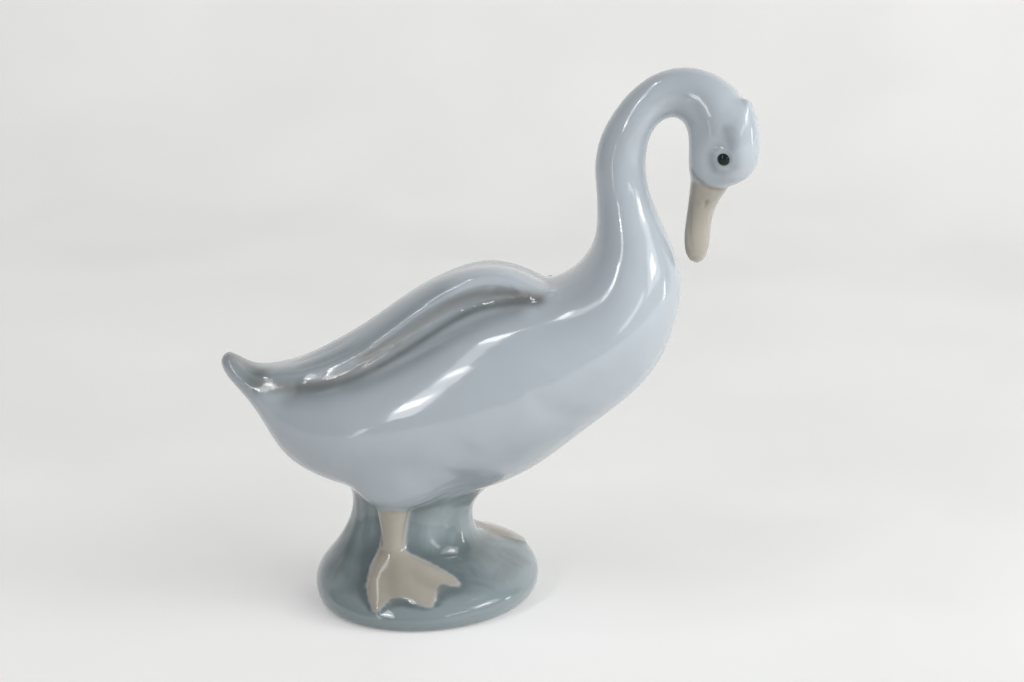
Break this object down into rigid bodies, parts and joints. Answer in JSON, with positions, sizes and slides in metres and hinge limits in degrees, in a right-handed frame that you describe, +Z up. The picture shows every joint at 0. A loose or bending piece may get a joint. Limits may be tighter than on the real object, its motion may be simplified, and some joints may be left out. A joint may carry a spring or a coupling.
{
  "type": "goose figurine",
  "caption": "Glazed porcelain goose in one piece with its mound: long body, folded wings, arched neck, bowed head, webbed feet.",
  "frame": {"origin": "centre of the mound's flat underside, on the surface it stands on", "axes": "+X from the tail to the breast, +Y to the bird's left, +Z up"},
  "size_m": [0.134, 0.0621, 0.1348],
  "materials": {
    "glazed_porcelain": "gloss glaze over white porcelain, blue-grey on the mound and peach on bill and feet"
  },
  "bodies": {
    "root": {"goose_figurine": "glazed_porcelain"}
  },
  "joints": []
}
